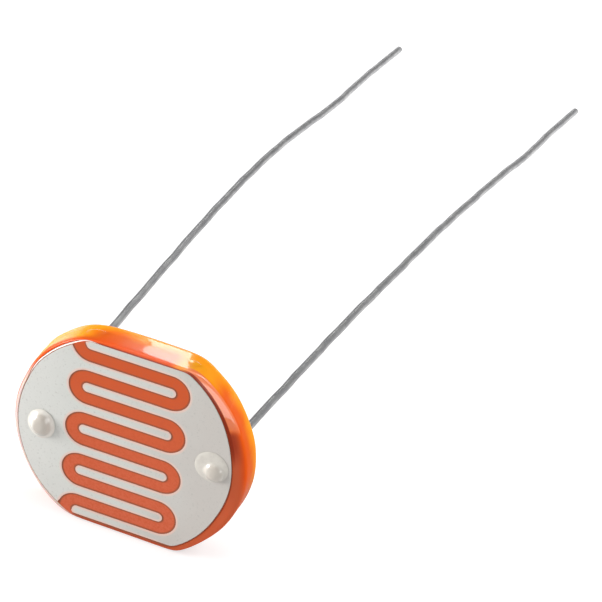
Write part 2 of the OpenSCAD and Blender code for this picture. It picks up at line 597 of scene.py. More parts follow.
@dataclass(frozen=True)
class FilmFinish:
    """Orange light-sensitive film under clear lacquer, darker where the electrodes end."""

    pattern: TrackPattern
    top: Colour = srgb(203, 85, 38)
    foot: Colour = srgb(208, 100, 68)
    patch: Colour = srgb(198, 86, 50)
    outline: Colour = srgb(146, 80, 54)
    outline_w: float = 0.13
    height: Band = (1.0, 10.0)
    patchy: Band = (0.35, 0.75)
    patch_share: float = 0.8
    rim_end: float = -0.04
    gloss: Band = (0.42, 0.55)

    def material(self) -> bpy.types.Material:
        """Build the material.

        Returns:
            The material.
        """
        sheet = NodeSheet("orange_film")
        place = sheet.place()
        _, _, z = sheet.split(place)
        colour = sheet.blend(sheet.span(z, *self.height), self.foot, self.top)
        grain = sheet.noise(place, scale=10.0, detail=4.0)
        patches = sheet.span(grain, *self.patchy, end=self.patch_share)
        colour = sheet.blend(patches, colour, self.patch)
        edge = self.pattern.edge(sheet, place)
        rim = sheet.span(edge, -self.outline_w, self.rim_end)
        sheet.set(Base_Color=sheet.blend(rim, colour, self.outline))
        sheet.set(Roughness=sheet.span(grain, *NOISE_BAND, *self.gloss), Specular_IOR_Level=0.2)
        sheet.bump(grain, depth=0.01, strength=0.15)
        return sheet.material


@dataclass(frozen=True)
class ElectrodeFinish:
    """Pale grey metal film under clear lacquer, with painted shade that greys it towards the right and a
    pink painted highlight along the track's edge.
    """

    pattern: TrackPattern
    # Lightest grey at the left; with the two greys below it, painted shade that darkens the film towards the
    # right
    light: Colour = srgb(217, 217, 212)
    cool: Colour = srgb(207, 208, 203)
    warm: Colour = srgb(197, 192, 186)
    # Pink painted highlight along the electrodes' edge beside the track
    rim: Colour = srgb(228, 196, 183)
    fleck: Colour = srgb(172, 170, 164)
    film: Colour = srgb(204, 96, 62)
    rim_w: float = 0.15
    rim_full: float = 0.03
    rim_share: float = 0.9
    film_band: Band = (-0.02, -0.05)
    cool_band: Band = (-3.0, 1.5)
    warm_band: Band = (1.5, 6.5)
    wander: float = 5.0
    flecked: Band = (0.55, 0.78)
    fleck_share: float = 0.5
    gloss: Band = (0.38, 0.5)

    def material(self) -> bpy.types.Material:
        """Build the material.

        Returns:
            The material.
        """
        sheet = NodeSheet("pale_metal_film")
        place = sheet.place()
        x, _, _ = sheet.split(place)
        patches = sheet.noise(place, scale=0.45, detail=3.0)
        across = sheet.math("ADD", x, sheet.product(patches, self.wander))
        # Painted shade: the grey darkens from the left towards the right
        colour = sheet.blend(sheet.span(across, *self.cool_band), self.light, self.cool)
        colour = sheet.blend(sheet.span(across, *self.warm_band), colour, self.warm)
        grain = sheet.noise(place, scale=9.0, detail=4.0)
        flecks = sheet.span(grain, *self.flecked, end=self.fleck_share)
        colour = sheet.blend(flecks, colour, self.fleck)
        edge = self.pattern.edge(sheet, place)
        # Painted highlight: a pink rim on the electrode beside the track
        rim = sheet.span(edge, self.rim_w, self.rim_full, end=self.rim_share)
        colour = sheet.blend(rim, colour, self.rim)
        sheet.set(Base_Color=sheet.blend(sheet.span(edge, *self.film_band), colour, self.film))
        sheet.set(Roughness=sheet.span(grain, *NOISE_BAND, *self.gloss), Specular_IOR_Level=0.4)
        sheet.bump(patches, depth=0.05, strength=0.1)
        return sheet.material


@dataclass(frozen=True)
class CeramicFinish:
    """White sintered alumina with a faint grain."""

    body: Colour = srgb(236, 231, 224)
    pore: Colour = srgb(205, 196, 186)
    porous: Band = (0.5, 0.8)
    gloss: Band = (0.45, 0.6)

    def material(self) -> bpy.types.Material:
        """Build the material.

        Returns:
            The material.
        """
        sheet = NodeSheet("white_ceramic")
        place = sheet.place()
        grain = sheet.noise(place, scale=12.0, detail=4.0)
        sheet.set(Base_Color=sheet.blend(sheet.span(grain, *self.porous), self.body, self.pore))
        sheet.set(Roughness=sheet.span(grain, *NOISE_BAND, *self.gloss))
        sheet.bump(grain, depth=0.02, strength=0.2)
        return sheet.material


@dataclass(frozen=True)
class PasteFinish:
    """Pale conductive paste, glossy under its clear lacquer, with painted shade over the right of its dome.
    """

    pad: Colour = srgb(226, 222, 213)
    cloud: Colour = srgb(214, 208, 199)
    # Painted shade on the right flank and top of the dome
    core: Colour = srgb(192, 184, 173)
    core_x: float = 0.0
    core_side: Band = (-0.4, -0.2)
    core_height: Band = (0.08, 0.2)
    cloudy: Band = (0.4, 0.7)
    gloss: Band = (0.3, 0.4)
    seat_y: float = -0.86

    def material(self) -> bpy.types.Material:
        """Build the material.

        Returns:
            The material.
        """
        sheet = NodeSheet("pale_paste")
        place = sheet.place()
        x, y, _ = sheet.split(place)
        cloud = sheet.noise(place, scale=2.2, detail=3.0)
        colour = sheet.blend(sheet.span(cloud, *self.cloudy), self.pad, self.cloud)
        height = sheet.math("SUBTRACT", self.seat_y, y)
        # Painted shade: the dome darkens right of its middle and above its foot
        across = sheet.span(sheet.math("SUBTRACT", x, self.core_x), *self.core_side)
        core = sheet.product(sheet.span(height, *self.core_height), across)
        sheet.set(Base_Color=sheet.blend(core, colour, self.core))
        sheet.set(Roughness=sheet.span(cloud, *NOISE_BAND, *self.gloss))
        sheet.set(Coat_Weight=0.8, Coat_Roughness=0.1)
        sheet.bump(cloud, depth=0.04, strength=0.15)
        return sheet.material


@dataclass(frozen=True)
class WireFinish:
    """Tinned wire with drawing marks along it, with painted shade that darkens it towards the coat and
    painted light that pales it towards the tip.
    """

    # Painted shade near the coat and painted light at the tip: the wire's greys pale along it
    root_bright: Colour = srgb(163, 163, 163)
    root_dull: Colour = srgb(139, 139, 141)
    tip_bright: Colour = srgb(198, 198, 198)
    tip_dull: Colour = srgb(170, 170, 172)
    stretch: float = 0.22
    mark_share: float = 0.6
    paling: Band = (2.0, 48.0)
    dulling: Band = (0.38, 0.62)
    gloss: Band = (0.4, 0.5)

    def material(self) -> bpy.types.Material:
        """Build the material.

        Returns:
            The material.
        """
        sheet = NodeSheet("tinned_wire")
        place = sheet.place()
        stretch = sheet.add("ShaderNodeMapping")
        stretch.inputs["Scale"].default_value = (1.0, self.stretch, 1.0)
        sheet.join(place, stretch.inputs["Vector"])
        marks = sheet.noise(stretch.outputs[0], scale=6.0, detail=4.0)
        tarnish = sheet.noise(place, scale=1.1, detail=3.0)
        spots = sheet.product(tarnish, 1.0 - self.mark_share)
        shade = sheet.math("ADD", sheet.product(marks, self.mark_share), spots)
        _, along, _ = sheet.split(place)
        # Painted light and shade: darker at the root, paler towards the tip
        outward = sheet.span(along, *self.paling)
        bright = sheet.blend(outward, self.root_bright, self.tip_bright)
        dull = sheet.blend(outward, self.root_dull, self.tip_dull)
        sheet.set(Base_Color=sheet.blend(sheet.span(shade, *self.dulling), bright, dull), Metallic=1.0)
        sheet.set(Roughness=sheet.span(marks, *NOISE_BAND, *self.gloss))
        sheet.bump(marks, depth=0.02, strength=0.2)
        return sheet.material


@dataclass(frozen=True)
class Zone:
    """A part of the coat, with bands that run from where it fades in to where it is full."""

    x: Band | None = None
    z: Band | None = None
    depth: Band | None = None


@dataclass(frozen=True)
class ResinFinish:
    """Glossy orange dipped resin, redder beside the face and yellower towards the back. Painted shade
    darkens the crease at the face, a wedge on the right and the lower parts; a painted highlight pales the
    upper-right facet, and painted light adds to the thin resin's yellow on the upper corners.
    """

    # Painted shade in the crease where the coat meets the face
    crease: Colour = srgb(150, 54, 32)
    # Painted shade: a dark wedge below the facet's painted highlight
    wedge: Colour = srgb(172, 66, 40)
    # Painted shade: duller pinkish brown over the lower front shoulder and, below, the lower wall
    skin: Colour = srgb(209, 98, 62)
    foot: Colour = srgb(208, 102, 66)
    thin: Colour = srgb(214, 186, 178)
    # Painted highlight: pale salmon over the upper-right facet
    facet: Colour = srgb(242, 124, 70)
    deep: Colour = srgb(228, 84, 22)
    body: Colour = srgb(234, 95, 21)
    back: Colour = srgb(255, 156, 26)
    glow: tuple[float, float, float] = (1.0, 0.35, 0.12)
    face_y: float = -0.81
    middle_z: float = 5.28
    lean: float = 0.35
    drift: float = 0.8
    wear: float = 1.5
    lower_share: float = 0.7
    pooled_share: float = 0.6
    body_band: Band = (0.0, 0.8)
    back_band: Band = (0.7, 1.6)
    coated_band: Band = (-4.9, -3.6)
    pool_band: Band = (0.35, 0.65)
    pool_share: float = 0.25
    gloss_z: Band = (7.5, 11.0)
    gloss: Band = (0.5, 0.2)
    shine_z: Band = (9.4, 11.2)
    shine: Band = (0.03, 0.28)
    # The two corner zones take the thin resin's yellow, laid on brighter as painted light
    right_corner: Zone = Zone(x=(1.6, 2.4), z=(9.2, 10.1))
    left_corner: Zone = Zone(x=(-1.8, -3.2), z=(6.5, 8.5), depth=(0.1, 0.5))
    facet_zone: Zone = Zone(x=(2.0, 2.8), z=(7.6, 8.0), depth=(0.37, 0.31))
    foot_zone: Zone = Zone(z=(5.6, 3.6), depth=(1.85, 1.5))
    skin_zone: Zone = Zone(z=(8.0, 7.6), depth=(0.3, 0.06))
    thin_zone: Zone = Zone(depth=(0.16, 0.03))
    right_side: Zone = Zone(x=(2.0, 2.8), z=(5.8, 7.2))
    groove: Zone = Zone(depth=(0.055, 0.02))
    pool_zone: Zone = Zone(depth=(1.6, 2.0))
    upper_edge: Zone = Zone(z=(8.0, 10.0), depth=(0.0, -0.02))
    lower_edge: Zone = Zone(depth=(-0.02, -0.033))
    pooled: tuple[Zone, ...] = (Zone(x=(-1.5, 0.0), z=(9.6, 10.0)), Zone(x=(2.9, 2.5)))
    polished: tuple[Zone, ...] = (
        Zone(x=(2.0, 2.8), z=(7.6, 8.0), depth=(0.4, 0.32)),
        Zone(z=(7.8, 8.3), depth=(0.03, 0.06)),
    )

    @staticmethod
    def _within(sheet: NodeSheet, axes: dict[str, Socket], *zones: Zone) -> Socket:
        """Tell how far a point lies inside all of some zones.

        Args:
            sheet: The material's nodes.
            axes: The point's x, z and depth in millimetres.
            zones: The zones.

        Returns:
            1 inside them all and 0 outside.
        """
        bands = [(axes[name], band) for zone in zones for name, band in vars(zone).items() if band]
        return sheet.product(*[sheet.span(value, *band) for value, band in bands])

    def _colour(self, sheet: NodeSheet, axes: dict[str, Socket], cloud: Socket) -> Socket:
        """Lay the coat's colours over each other.

        Args:
            sheet: The material's nodes.
            axes: The point's x, z and depth in millimetres.
            cloud: A soft noise.

        Returns:
            The colour.
        """
        within = partial(self._within, sheet, axes)
        drift = sheet.product(sheet.math("SUBTRACT", cloud, 0.5), self.drift)
        drifted = sheet.math("ADD", axes["depth"], drift)
        leaning = sheet.product(sheet.math("SUBTRACT", self.middle_z, axes["z"]), self.lean)
        coated = sheet.span(sheet.math("SUBTRACT", axes["x"], leaning), *self.coated_band)
        bare = sheet.math("SUBTRACT", 1.0, coated)
        skin = sheet.product(within(self.skin_zone), coated)
        pools = sheet.span(cloud, *self.pool_band, end=self.pool_share)
        # Painted shade along the face's edge, strongest at the top
        lower = sheet.product(within(self.lower_edge), self.lower_share)
        edge = sheet.product(sheet.math("MAXIMUM", within(self.upper_edge), lower), coated)
        layers = (
            (sheet.span(drifted, *self.body_band), self.body),
            (sheet.span(drifted, *self.back_band), self.back),
            # Upper corners: the thin resin's yellow, partly painted light
            (sheet.math("MAXIMUM", within(self.right_corner), within(self.left_corner)), self.back),
            # Painted highlight on the upper-right facet
            (within(self.facet_zone), self.facet),
            # Painted shade over the lower wall
            (sheet.product(within(self.foot_zone), coated), self.foot),
            # Painted shade over the lower front shoulder
            (skin, self.skin),
            (sheet.product(within(self.thin_zone), bare), self.thin),
            # Painted shade: the dark wedge on the lower right of the shoulder
            (sheet.product(skin, within(self.right_side)), self.wedge),
            (sheet.product(within(self.pool_zone), pools), self.body),
            # Painted shade in the crease at the face and the right-hand groove
            (sheet.math("MAXIMUM", within(self.groove, self.right_side), edge), self.crease),
        )
        colour: "Socket | Colour" = self.deep
        for share, paint in layers:
            colour = sheet.blend(share, colour, paint)
        return colour

    def material(self) -> bpy.types.Material:
        """Build the material.

        Returns:
            The material.
        """
        sheet = NodeSheet("orange_resin")
        place = sheet.place()
        x, y, z = sheet.split(place)
        axes = {"x": x, "z": z, "depth": sheet.math("SUBTRACT", y, self.face_y)}
        cloud = sheet.noise(place, scale=0.8, detail=3.0)
        sheet.set(Base_Color=self._colour(sheet, axes, cloud))
        worn = sheet.math("ADD", z, sheet.product(cloud, self.wear))
        sheet.set(Roughness=sheet.span(worn, *self.gloss_z, *self.gloss))
        sheet.set(Specular_IOR_Level=sheet.span(worn, *self.shine_z, *self.shine))
        pooled = sheet.product(self._within(sheet, axes, *self.pooled), self.pooled_share)
        polished = self._within(sheet, axes, *self.polished)
        sheet.set(Coat_Weight=sheet.math("MAXIMUM", pooled, polished), Coat_Roughness=0.04)
        sheet.set(Subsurface_Weight=0.25, Subsurface_Scale=0.4 * MM, Subsurface_Radius=self.glow)
        sheet.bump(sheet.noise(place, scale=0.9, detail=1.0), depth=0.12, strength=0.08)
        return sheet.material


@dataclass
class PrintedDisc:
    """The ceramic disc with its film and electrode combs."""

    outline: Outline = DISC
    points: int = 240
    front: float = -0.81
    back: float = 0.19
    chamfer: float = 0.05
    film_inset: float = 0.05
    electrode_inset: float = 0.08
    electrode_low: float = 0.32
    electrode_high: float = 10.38
    spare: float = 0.2
    shave: float = 0.001
    weld: float = 0.0001
    rim_push: float = 0.5
    pattern: TrackPattern = TrackPattern()

    def _stamp(self, outline: Outline, chamfer: float) -> bpy.types.Object:
        """Model the block that gives a print its rounded corners.

        Args:
            outline: The print's outline.
            chamfer: Chamfer on the block's front edge.

        Returns:
            The block, which reaches past the disc unless it has a chamfer.
        """
        front = self.front + (self.shave if chamfer else -self.spare)
        loft = RingLoft("stamp", self.points, outline.inset(chamfer).ring(front))
        if chamfer:
            loft.add(outline.ring(front + chamfer))
        loft.add(outline.ring(self.back + self.spare))
        return loft.done(grid=False)

    def _trimmed(self, node: str, name: str, outline: Outline, chamfer: float = 0.0) -> bpy.types.Object:
        """Copy a solid and trim its corners round.

        Args:
            node: The solid.
            name: Name of the piece.
            outline: Its outline with rounded corners.
            chamfer: Chamfer on its front edge.

        Returns:
            The trimmed copy.
        """
        stamp = self._stamp(outline, chamfer)
        piece = bpy.data.objects.new(name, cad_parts[node].data.copy())
        bpy.context.scene.collection.objects.link(piece)
        Bench.take(piece)
        bpy.ops.mesh.customdata_custom_splitnormals_clear()
        bpy.ops.object.mode_set(mode="EDIT")
        bpy.ops.mesh.select_all(action="SELECT")
        bpy.ops.mesh.remove_doubles(threshold=self.weld * MM)
        bpy.ops.object.mode_set(mode="OBJECT")
        Bench.sculpt(piece, self._spread)
        trim = piece.modifiers.new("trim", "BOOLEAN")
        trim.operation = "INTERSECT"
        trim.solver = "EXACT"
        trim.object = stamp
        bpy.ops.object.modifier_apply(modifier=trim.name)
        bpy.data.objects.remove(stamp)
        Bench.shade(piece, degrees=20)
        return piece

    def _spread(self, place: Vector, _normal: Vector) -> Vector:
        """Push a rim point out past the stamp, which then draws the outline alone.

        Args:
            place: The point's place in metres.
            _normal: The point's normal, which isn't needed.

        Returns:
            The push in metres.
        """
        across = Vector((place.x / MM - self.outline.x, 0, place.z / MM - self.outline.round_z))
        if across.length > self.outline.radius - self.spare:
            return across.normalized() * self.rim_push * MM
        if abs(across.z) > self.outline.high - self.outline.middle - self.spare:
            return Vector((0, 0, math.copysign(self.spare, across.z))) * MM
        return Vector()

    def build(self) -> None:
        """Trim, dress and place the disc, the film and both combs."""
        disc = self._trimmed("ceramic_base", "ceramic_disc", self.outline, self.chamfer)
        Bench.dress(disc, CeramicFinish().material(), "ceramic", "ceramic_base")
        film = self._trimmed("photo_layer", "orange_film", self.outline.inset(self.film_inset))
        Bench.dress(film, FilmFinish(self.pattern).material(), "film", "photo_layer")
        finish = ElectrodeFinish(self.pattern).material()
        inset = self.outline.inset(self.electrode_inset)
        inner = replace(inset, low=self.electrode_low, high=self.electrode_high)
        for side in Side:
            node = f"electrode_{side.name.lower()}"
            comb = self._trimmed(node, f"comb_{side.name.lower()}", inner)
            Bench.dress(comb, finish, "electrode", node)


@dataclass
class PasteContact:
    """One bead of paste over a lead's front end, drawn ring by ring with inset."""

    name: str
    node: str
    x: float
    z: float
    profile: tuple[tuple[float, float], ...]
    slide_after: int = 0
    slide: tuple[float, float] = (0.0, 0.0)
    stretch: tuple[float, float] = (1.0, 1.0)
    seat: float = -0.86
    points: int = 48
    unevenness: float = 0.03
    ease: float = 0.1
    lumps: float = 1.6

    def build(self, material: bpy.types.Material) -> None:
        """Model, dress and place the bead.

        Args:
            material: Its finish.
        """
        foot, height = self.profile[0]
        centre = Vector((self.x, self.seat - height, self.z)) * MM
        piece = Bench.ring(self.name, self.points, foot * MM, centre, filled=True)
        for number, (radius, rise) in enumerate(self.profile[1:], 1):
            bpy.ops.mesh.inset(thickness=(foot - radius) * MM, depth=(rise - height) * MM)
            foot, height = radius, rise
            if number == self.slide_after:
                bpy.ops.transform.translate(value=Vector((self.slide[0], 0, self.slide[1])) * MM)
        Bench.close(piece)
        Bench.subdivide(piece, levels=2)
        Bench.sculpt(piece, self._settle)
        Bench.shade(piece, degrees=60)
        Bench.dress(piece, material, "contact", self.node)

    def _settle(self, place: Vector, normal: Vector) -> Vector:
        """Sink the bead unevenly, and not at its seat, and stretch it along the face.

        Args:
            place: The point's place in metres.
            normal: The point's normal.

        Returns:
            The push in metres.
        """
        x, y, z = place / MM
        above = max(0.0, self.seat - y)
        uneven = 0.5 + 0.5 * noise.noise(place / MM * self.lumps)
        sink = self.unevenness * min(1.0, above / self.ease) * uneven
        wider = Vector(((x - self.x) * (self.stretch[0] - 1), 0, (z - self.z) * (self.stretch[1] - 1)))
        return (wider - normal * sink) * MM


@dataclass(frozen=True)
class Kink:
    """A gentle sideways bend left in a wire."""

    at: float
    offset: float
    width: float

    def push(self, along: float) -> float:
        """Give the sideways offset at a distance along the wire."""
        return self.offset * math.exp(-(((along - self.at) / self.width) ** 2))


@dataclass
class WireLead:
    """One tinned lead that runs back from its contact and sags to the table."""

    side: Side
    root_angle: float
    middle: float
    sag_r: float
    tip: float
    swing: float
    kinks: tuple[Kink, ...] = ()
    diameter: float = 0.4
    pitch: float = 8.9
    height: float = 5.46
    front: float = -0.9
    straight: float = 2.66
    root_r: float = 10.0
    step: float = 0.8
    ripple: float = 0.012
    ripple_ease: float = 6.0
    long_wave: float = 1.7
    short_wave: float = 2.9
    short_share: float = 0.7
    tip_round: float = 0.05
    tip_share: float = 0.78
    points: int = 16

    def _sag_end(self) -> float:
        """Work out how steeply the tip lies, so that it reaches the table.

        Returns:
            The angle in radians, in the plane of the sag.
        """
        root = math.radians(self.root_angle)
        drop = (self.height - self.diameter / 2) / math.cos(math.radians(self.swing))
        left = drop - self.root_r * (1 - math.cos(root)) - self.middle * math.sin(root)
        return math.atan2(self.sag_r, self.tip) + math.asin(
            (left - self.sag_r * math.cos(root)) / math.hypot(self.sag_r, self.tip)
        )

    def _runs(self) -> list[tuple[float, float]]:
        """List the stretches of the wire, from the front.

        Returns:
            Each stretch's length in millimetres and its turn in radians.
        """
        root = math.radians(self.root_angle)
        sag = self._sag_end() - root
        return [
            (self.straight, 0.0),
            (self.root_r * root, root),
            (self.middle, 0.0),
            (self.sag_r * sag, sag),
            (self.tip, 0.0),
        ]

    def path(self) -> list[Vector]:
        """Follow the wire's middle line.

        Returns:
            Its points in millimetres.
        """
        swing = math.radians(self.swing)
        back = fall = along = angle = 0.0
        points = [(back, fall, along)]
        for length, turn in self._runs():
            count = max(1, math.ceil(length / self.step))
            for _ in range(count if length else 0):
                angle += turn / count / 2
                back += length / count * math.cos(angle)
                fall += length / count * math.sin(angle)
                angle += turn / count / 2
                along += length / count
                points.append((back, fall, along))
        total = along
        path = []
        for back, fall, along in points:
            ends = min(1.0, along / self.ripple_ease, (total - along) / self.ripple_ease)
            short = math.sin(along * self.short_wave + 1.0 + self.side.value)
            wave = math.sin(along * self.long_wave) + self.short_share * short
            aside = sum(kink.push(along) for kink in self.kinks) + self.ripple * wave
            x = self.side.value * self.pitch / 2 + fall * math.sin(swing) + aside * max(0.0, ends)
            path.append(Vector((x, self.front + back, self.height - fall * math.cos(swing))))
        return path

    def build(self, material: bpy.types.Material) -> None:
        """Draw the wire along its path, dress it and place it.

        Args:
            material: Its finish.
        """
        path = self.path()
        path.insert(-1, path[-1] + (path[-2] - path[-1]).normalized() * self.tip_round)
        name = f"wire_{self.side.name.lower()}"
        piece = Bench.ring(name, self.points, self.diameter / 2 * MM, path[0] * MM)
        for last, point in zip(path, path[1:]):
            Bench.extrude((point - last) * MM)
        share = self.tip_share
        bpy.ops.transform.resize(value=(share, share, share), center_override=path[-1] * MM)
        Bench.close(piece)
        Bench.shade(piece, degrees=50)
        Bench.dress(piece, material, "lead", f"lead_{self.side.name.lower()}")


class Shoulder(Enum):
    """Sections of the coat beside the face, as share of its width and depth in millimetres."""

    SOFT = (
        (0.06, 0.005), (0.14, 0.02), (0.3, 0.05), (0.5, 0.1),
        (0.72, 0.17), (0.88, 0.25), (0.97, 0.35), (1, 0.5),
    )
    FACET = (
        (0.08, 0.071), (0.2, 0.083), (0.36, 0.112), (0.52, 0.15),
        (0.68, 0.195), (0.84, 0.246), (0.96, 0.305), (1, 0.45),
    )
    FLUSH = (
        (0.06, 0), (0.2, 0), (0.42, 0.002), (0.64, 0.006),
        (0.84, 0.02), (0.94, 0.055), (0.985, 0.12), (1, 0.3),
    )


LOWER_SWELL = ((-160.0, 0.0), (-130.0, 0.06), (-100.0, 0.0), (-62.0, 0.12))
LEFT_SWELL = ((160.0, -0.05), (178.0, 0.0))
BRIM = Outline(
    x=0.0,
    round_z=5.16,
    radius=5.85,
    low=0.0,
    high=10.56,
    left_corner=26.0,
    right_corner=110.0,
    crown=0.01,
    swell=Dial(
        (
            *LOWER_SWELL,
            (-42.0, 0.03), (-25.0, 0.06), (-8.0, 0.1), (10.0, 0.08), (38.0, 0.21), (60.0, 0.27),
            (112.0, 0.0), (135.0, 0.08), (150.0, 0.0),
            *LEFT_SWELL,
        )
    ),
)
BACK = replace(
    BRIM,
    high=10.45,
    left_corner=18.0,
    right_corner=90.0,
    swell=Dial(
        (
            *LOWER_SWELL,
            (-42.0, 0.05), (-25.0, 0.12), (-8.0, 0.12), (10.0, 0.06), (30.0, 0.04),
            (112.0, -0.06), (132.0, 0.01), (144.0, 0.07), (153.0, 0.0),
            *LEFT_SWELL,
        )
    ),
)


@dataclass
class DippedCoat:
    """The resin that the disc and the lead roots were dipped in."""

    brim: Outline = BRIM
    back: Outline = BACK
    pocket: Outline = DISC.inset(-0.025)
    facet: Dial = Dial(((-20.0, 0.0), (10.0, 1.0), (50.0, 1.0), (64.0, 0.0)))
    flush: Dial = Dial(
        (
            (-150.0, 0.2), (-100.0, 0.8), (-60.0, 1.0), (-25.0, 0.9), (8.0, 0.1),
            (50.0, 0.0), (68.0, 0.9), (115.0, 0.9), (150.0, 0.3),
        )
    )
    bare: Dial = Dial(((104.0, 0.0), (120.0, 0.75), (145.0, 0.75), (165.0, 0.0)))
    face: float = -0.81
    disc_t: float = 1.005
    coat_t: float = 1.95
    crown_h: float = 0.28
    lead_pitch: float = 8.9
    lead_z: float = 5.46
    lead_r: float = 0.2
    fillet: float = 0.35
    floor_insets: tuple[float, ...] = (4.9, 0.3, 0.02)
    pocket_depths: tuple[float, ...] = (0.985, 0.5, 0.16)
    lip: tuple[tuple[float, float, float], ...] = (
        (0.0, 0.09, 0.13), (0.04, 0.0, 0.11), (0.07, -0.02, 0.1),
        (0.066, -0.035, 0.09), (0.045, -0.035, 0.085),
    )
    lip_power: int = 4
    wall_depths: tuple[float, ...] = (0.72, 0.95, 1.2, 1.5)
    taper_depth: float = 1.5
    rounding: tuple[Band, ...] = ((0.03, 1.62), (0.1, 1.74), (0.21, 1.85), (0.35, 1.92), (0.5, 1.95))
    rim_start: float = 0.62
    rim_step: float = 0.11
    rim_count: int = 13
    crown_insets: tuple[float, ...] = (2.4, 2.9, 3.5, 4.1, 4.6, 5.0)
    crown_start: float = 0.5
    crown_reach: float = 4.6
    unevenness: float = 0.05
    lumps: float = 0.55
    still_r: float = 5.7
    still_half: float = 5.2
    still_depth: float = 0.2
    still_z: float = 10.2
    floor_margin: float = 0.1
    ease: float = 0.6
    top_share: float = 0.2
    back_margin: float = 0.2
    back_facing: float = 0.3
    points: int = 168

    def _lip(self, stage: tuple[float, float, float], angle: float) -> Vector:
        """Give a point of the lip, which covers the disc's edge where that is not bare.

        Args:
            stage: The lip's reach over the edge, its depth there, and its depth at a bare edge.
            angle: Direction of the point.

        Returns:
            The point in millimetres.
        """
        cover, depth, bare_depth = stage
        bare = self.bare.at(angle)
        y = self.face + depth + (bare_depth - depth) * bare
        return self.pocket.inset(cover * (1 - bare)).ring(y)(angle)

    def _shoulder(self, step: int, angle: float) -> Vector:
        """Give a point of the shoulder between the lip and the coat's wall.

        Args:
            step: Which step of the shoulder's section.
            angle: Direction of the point.

        Returns:
            The point in millimetres.
        """
        facet = self.facet.at(angle)
        flush = self.flush.at(angle) * (1 - facet)
        weights = {Shoulder.SOFT: 1 - facet - flush, Shoulder.FACET: facet, Shoulder.FLUSH: flush}
        share = sum(weight * section.value[step][0] for section, weight in weights.items())
        depth = sum(weight * section.value[step][1] for section, weight in weights.items())
        lip = self._lip(self.lip[-1], angle)
        point = lip.lerp(self._wall(depth)(angle), share)
        lip_share = (1 - share) ** self.lip_power
        point.y = lip.y * lip_share + (self.face + depth) * (1 - lip_share)
        return point

    def _rings(self) -> list[Ring]:
        """List the coat's rings, from the pocket's floor over the shoulder and round to the back.

        Returns:
            The rings in order.
        """
        floor = self.face + self.disc_t
        rings = [self.pocket.inset(inset).ring(floor) for inset in self.floor_insets]
        rings += [self.pocket.ring(self.face + depth) for depth in self.pocket_depths]
        rings += [partial(self._lip, stage) for stage in self.lip]
        rings += [partial(self._shoulder, step) for step in range(len(Shoulder.SOFT.value))]
        rings += [self._wall(depth) for depth in self.wall_depths]
        rings += [self._wall(depth, inset) for inset, depth in self.rounding]
        insets = [self.rim_start + self.rim_step * step for step in range(self.rim_count)]
        rings += [self._wall(self._crown(inset), inset) for inset in (*insets, *self.crown_insets)]
        return rings

    def _wall(self, depth: float, inset: float = 0.0) -> Ring:
        """Give a ring of the wall, which draws in from the brim to the back.

        Args:
            depth: Depth behind the face in millimetres.
            inset: How far the ring lies inside the wall.

        Returns:
            The ring.
        """
        share = min(1.0, max(0.0, depth / self.taper_depth))
        brim = self.brim.inset(inset).ring(self.face + depth)
        back = self.back.inset(inset).ring(self.face + depth)
        return lambda angle: brim(angle).lerp(back(angle), share)

    def _crown(self, inset: float) -> float:
        """Depth of the crowned back at a distance inside the outline."""
        share = min(1.0, max(0.0, (inset - self.crown_start) / self.crown_reach))
        return self.coat_t + self.crown_h * (1 - (1 - share) ** 2)

    def build(self, material: bpy.types.Material) -> None:
        """Draw, sculpt, dress and place the coat.

        Args:
            material: Its finish.
        """
        rings = self._rings()
        loft = RingLoft("dipped_coat", self.points, rings[0])
        for ring in rings[1:]:
            loft.add(ring)
        piece = loft.done(grid=True)
        Bench.subdivide(piece, levels=1)
        Bench.sculpt(piece, self._settle)
        Bench.sculpt(piece, self._climb)
        Bench.shade(piece, degrees=60)
        Bench.dress(piece, material, "coat", "resin_coat")

    def _settle(self, place: Vector, normal: Vector) -> Vector:
        """Sink the coat unevenly, and leave the pocket and the lip alone.

        Args:
            place: The point's place in metres.
            normal: The point's normal.

        Returns:
            The push in metres.
        """
        x, y, z = place / MM
        depth = y - self.face
        away = math.hypot(x - self.pocket.x, z - self.pocket.round_z)
        inside = away < self.still_r and abs(z - self.pocket.middle) < self.still_half
        if inside and depth < self.disc_t + self.floor_margin:
            return Vector()
        fade = min(1.0, max(0.0, (depth - self.still_depth) / self.ease))
        fade *= min(1.0, max(self.top_share, (self.still_z - z) / self.ease))
        sink = self.unevenness * (0.5 + 0.5 * noise.noise(Vector((x, y, z)) * self.lumps))
        return -normal * sink * fade * MM

    def _climb(self, place: Vector, normal: Vector) -> Vector:
        """Draw the back up round each lead in a hollow fillet.

        Args:
            place: The point's place in metres.
            normal: The point's normal.

        Returns:
            The push in metres.
        """
        x, y, z = place / MM
        if y < self.face + self.coat_t - self.back_margin or normal.y < self.back_facing:
            return Vector()
        near = min(math.hypot(x - side.value * self.lead_pitch / 2, z - self.lead_z) for side in Side)
        reach = self.lead_r + self.fillet - max(near, self.lead_r)
        if reach <= 0:
            return Vector()
        rise = self.fillet - math.sqrt(max(0.0, self.fillet**2 - reach**2))
        return Vector((0, rise * MM, 0))


@dataclass(frozen=True)
class Softbox:
    """A rectangular studio light."""

    name: str
    place: tuple[float, float, float]
    width: float
    height: float
    power: float
    mirrored: bool = True
    aim: tuple[float, float, float] = (0.0, 0.0, 0.005)

    def build(self) -> None:
        """Hang the light and turn it to its aim."""
        light = bpy.data.lights.new(self.name, "AREA")
        light.shape = "RECTANGLE"
        light.size = self.width
        light.size_y = self.height
        light.energy = self.power
        lamp = bpy.data.objects.new(self.name, light)
        bpy.context.scene.collection.objects.link(lamp)
        lamp.visible_glossy = self.mirrored
        lamp.location = self.place
        lamp.rotation_euler = (Vector(self.aim) - Vector(self.place)).to_track_quat("-Z", "Y").to_euler()


